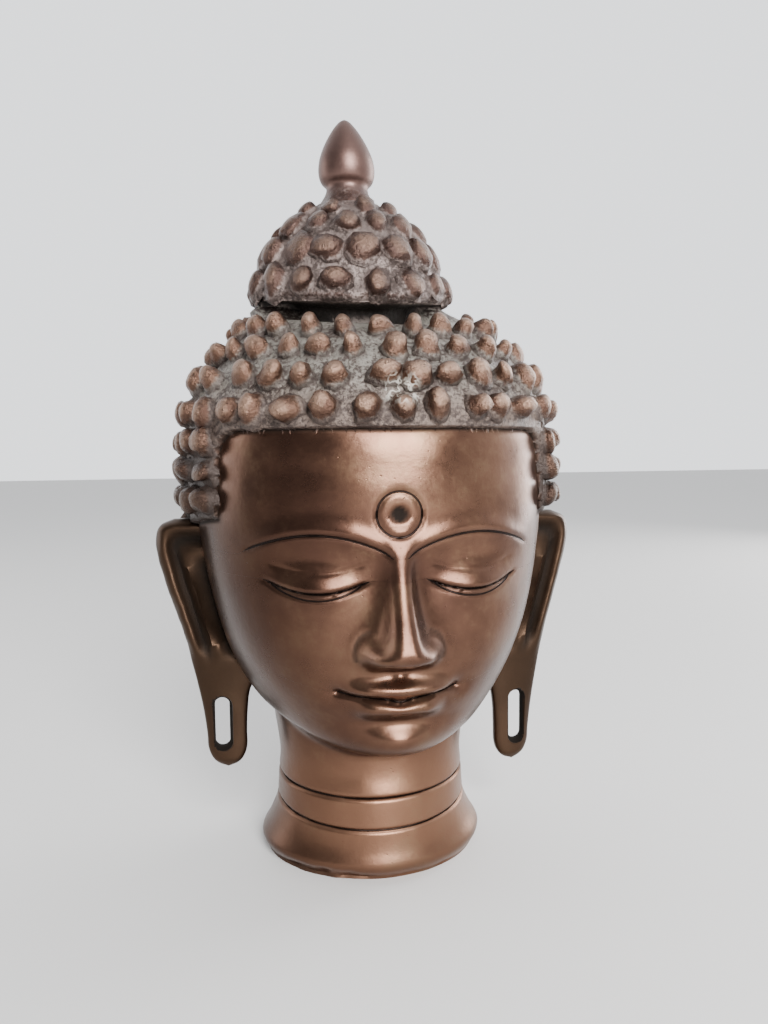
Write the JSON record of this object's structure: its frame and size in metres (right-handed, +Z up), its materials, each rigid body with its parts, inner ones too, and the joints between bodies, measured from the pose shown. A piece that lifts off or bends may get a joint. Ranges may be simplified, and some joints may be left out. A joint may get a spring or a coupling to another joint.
{
  "type": "bronze buddha head",
  "caption": "Cast bronze head of a buddha with knobbed hair, a raised crown with a jewel and long slit ears, standing on its flared neck.",
  "frame": {"origin": "middle of the flat underside of the neck's flared foot", "axes": "+Z up through the crown's jewel, the face looks along -Y and +X is at the viewer's right"},
  "size_m": [0.1439, 0.1321, 0.243],
  "materials": {
    "bronze": "worn brown bronze patina, polished on the face, dark and rough between the knobs of hair"
  },
  "bodies": {
    "root": {"buddha_head": "bronze"}
  },
  "joints": []
}
